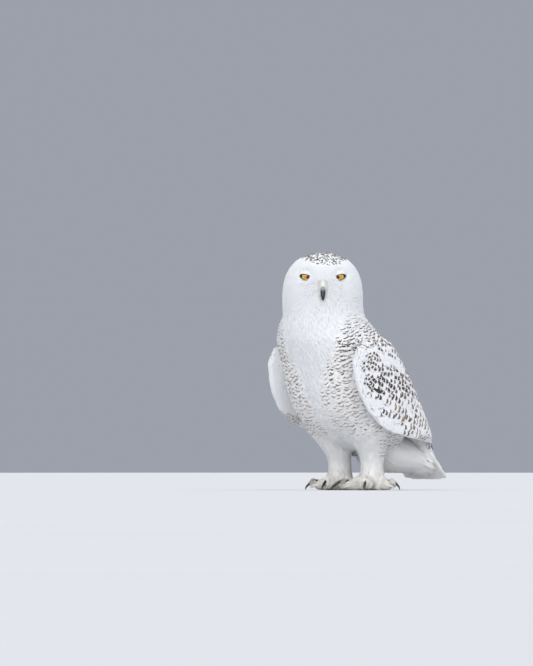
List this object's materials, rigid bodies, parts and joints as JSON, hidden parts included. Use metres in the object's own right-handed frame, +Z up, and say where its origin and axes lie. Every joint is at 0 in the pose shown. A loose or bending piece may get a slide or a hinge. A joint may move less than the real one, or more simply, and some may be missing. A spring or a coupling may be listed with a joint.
{
  "type": "snowy owl",
  "caption": "Life-size model of a snowy owl standing on the ground, its head turned to its left and its wings folded and hanging a little loose.",
  "frame": {"origin": "middle of the box in plan, on the floor under the feet", "axes": "+Z up, the breast faces -Y, the owl's left side at +X, the head turned 45 degrees to +X"},
  "size_m": [0.2806, 0.4032, 0.497],
  "materials": {
    "plumage": "soft matt plumage",
    "barred_plumage": "soft matt plumage with dark bars",
    "wing_plumage": "soft matt plumage with dark spots",
    "quill_plumage": "smooth matt feather vanes",
    "foot_plumage": "short dense bristly plumage, stained cream",
    "horn": "worn satin horn",
    "iris": "wet clear eye over a yellow iris"
  },
  "bodies": {
    "root": {"head": "plumage", "neck": "plumage", "trunk": "barred_plumage", "undertail": "plumage", "tail": "quill_plumage", "wing_left_coverts": "wing_plumage", "wing_left_secondaries": "wing_plumage", "wing_left_primaries": "quill_plumage", "thigh_left": "barred_plumage", "leg_left": "plumage", "foot_left": "foot_plumage", "toe_left_inner": "foot_plumage", "toe_left_middle": "foot_plumage", "toe_left_outer": "foot_plumage", "toe_left_hind": "foot_plumage", "claw_left_inner": "horn", "claw_left_middle": "horn", "claw_left_outer": "horn", "claw_left_hind": "horn", "wing_right_coverts": "wing_plumage", "wing_right_secondaries": "wing_plumage", "wing_right_primaries": "quill_plumage", "thigh_right": "barred_plumage", "leg_right": "plumage", "foot_right": "foot_plumage", "toe_right_inner": "foot_plumage", "toe_right_middle": "foot_plumage", "toe_right_outer": "foot_plumage", "toe_right_hind": "foot_plumage", "claw_right_inner": "horn", "claw_right_middle": "horn", "claw_right_outer": "horn", "claw_right_hind": "horn", "eye_left": "iris", "eye_right": "iris", "bill_upper": "horn", "bill_lower": "horn"}
  },
  "joints": []
}
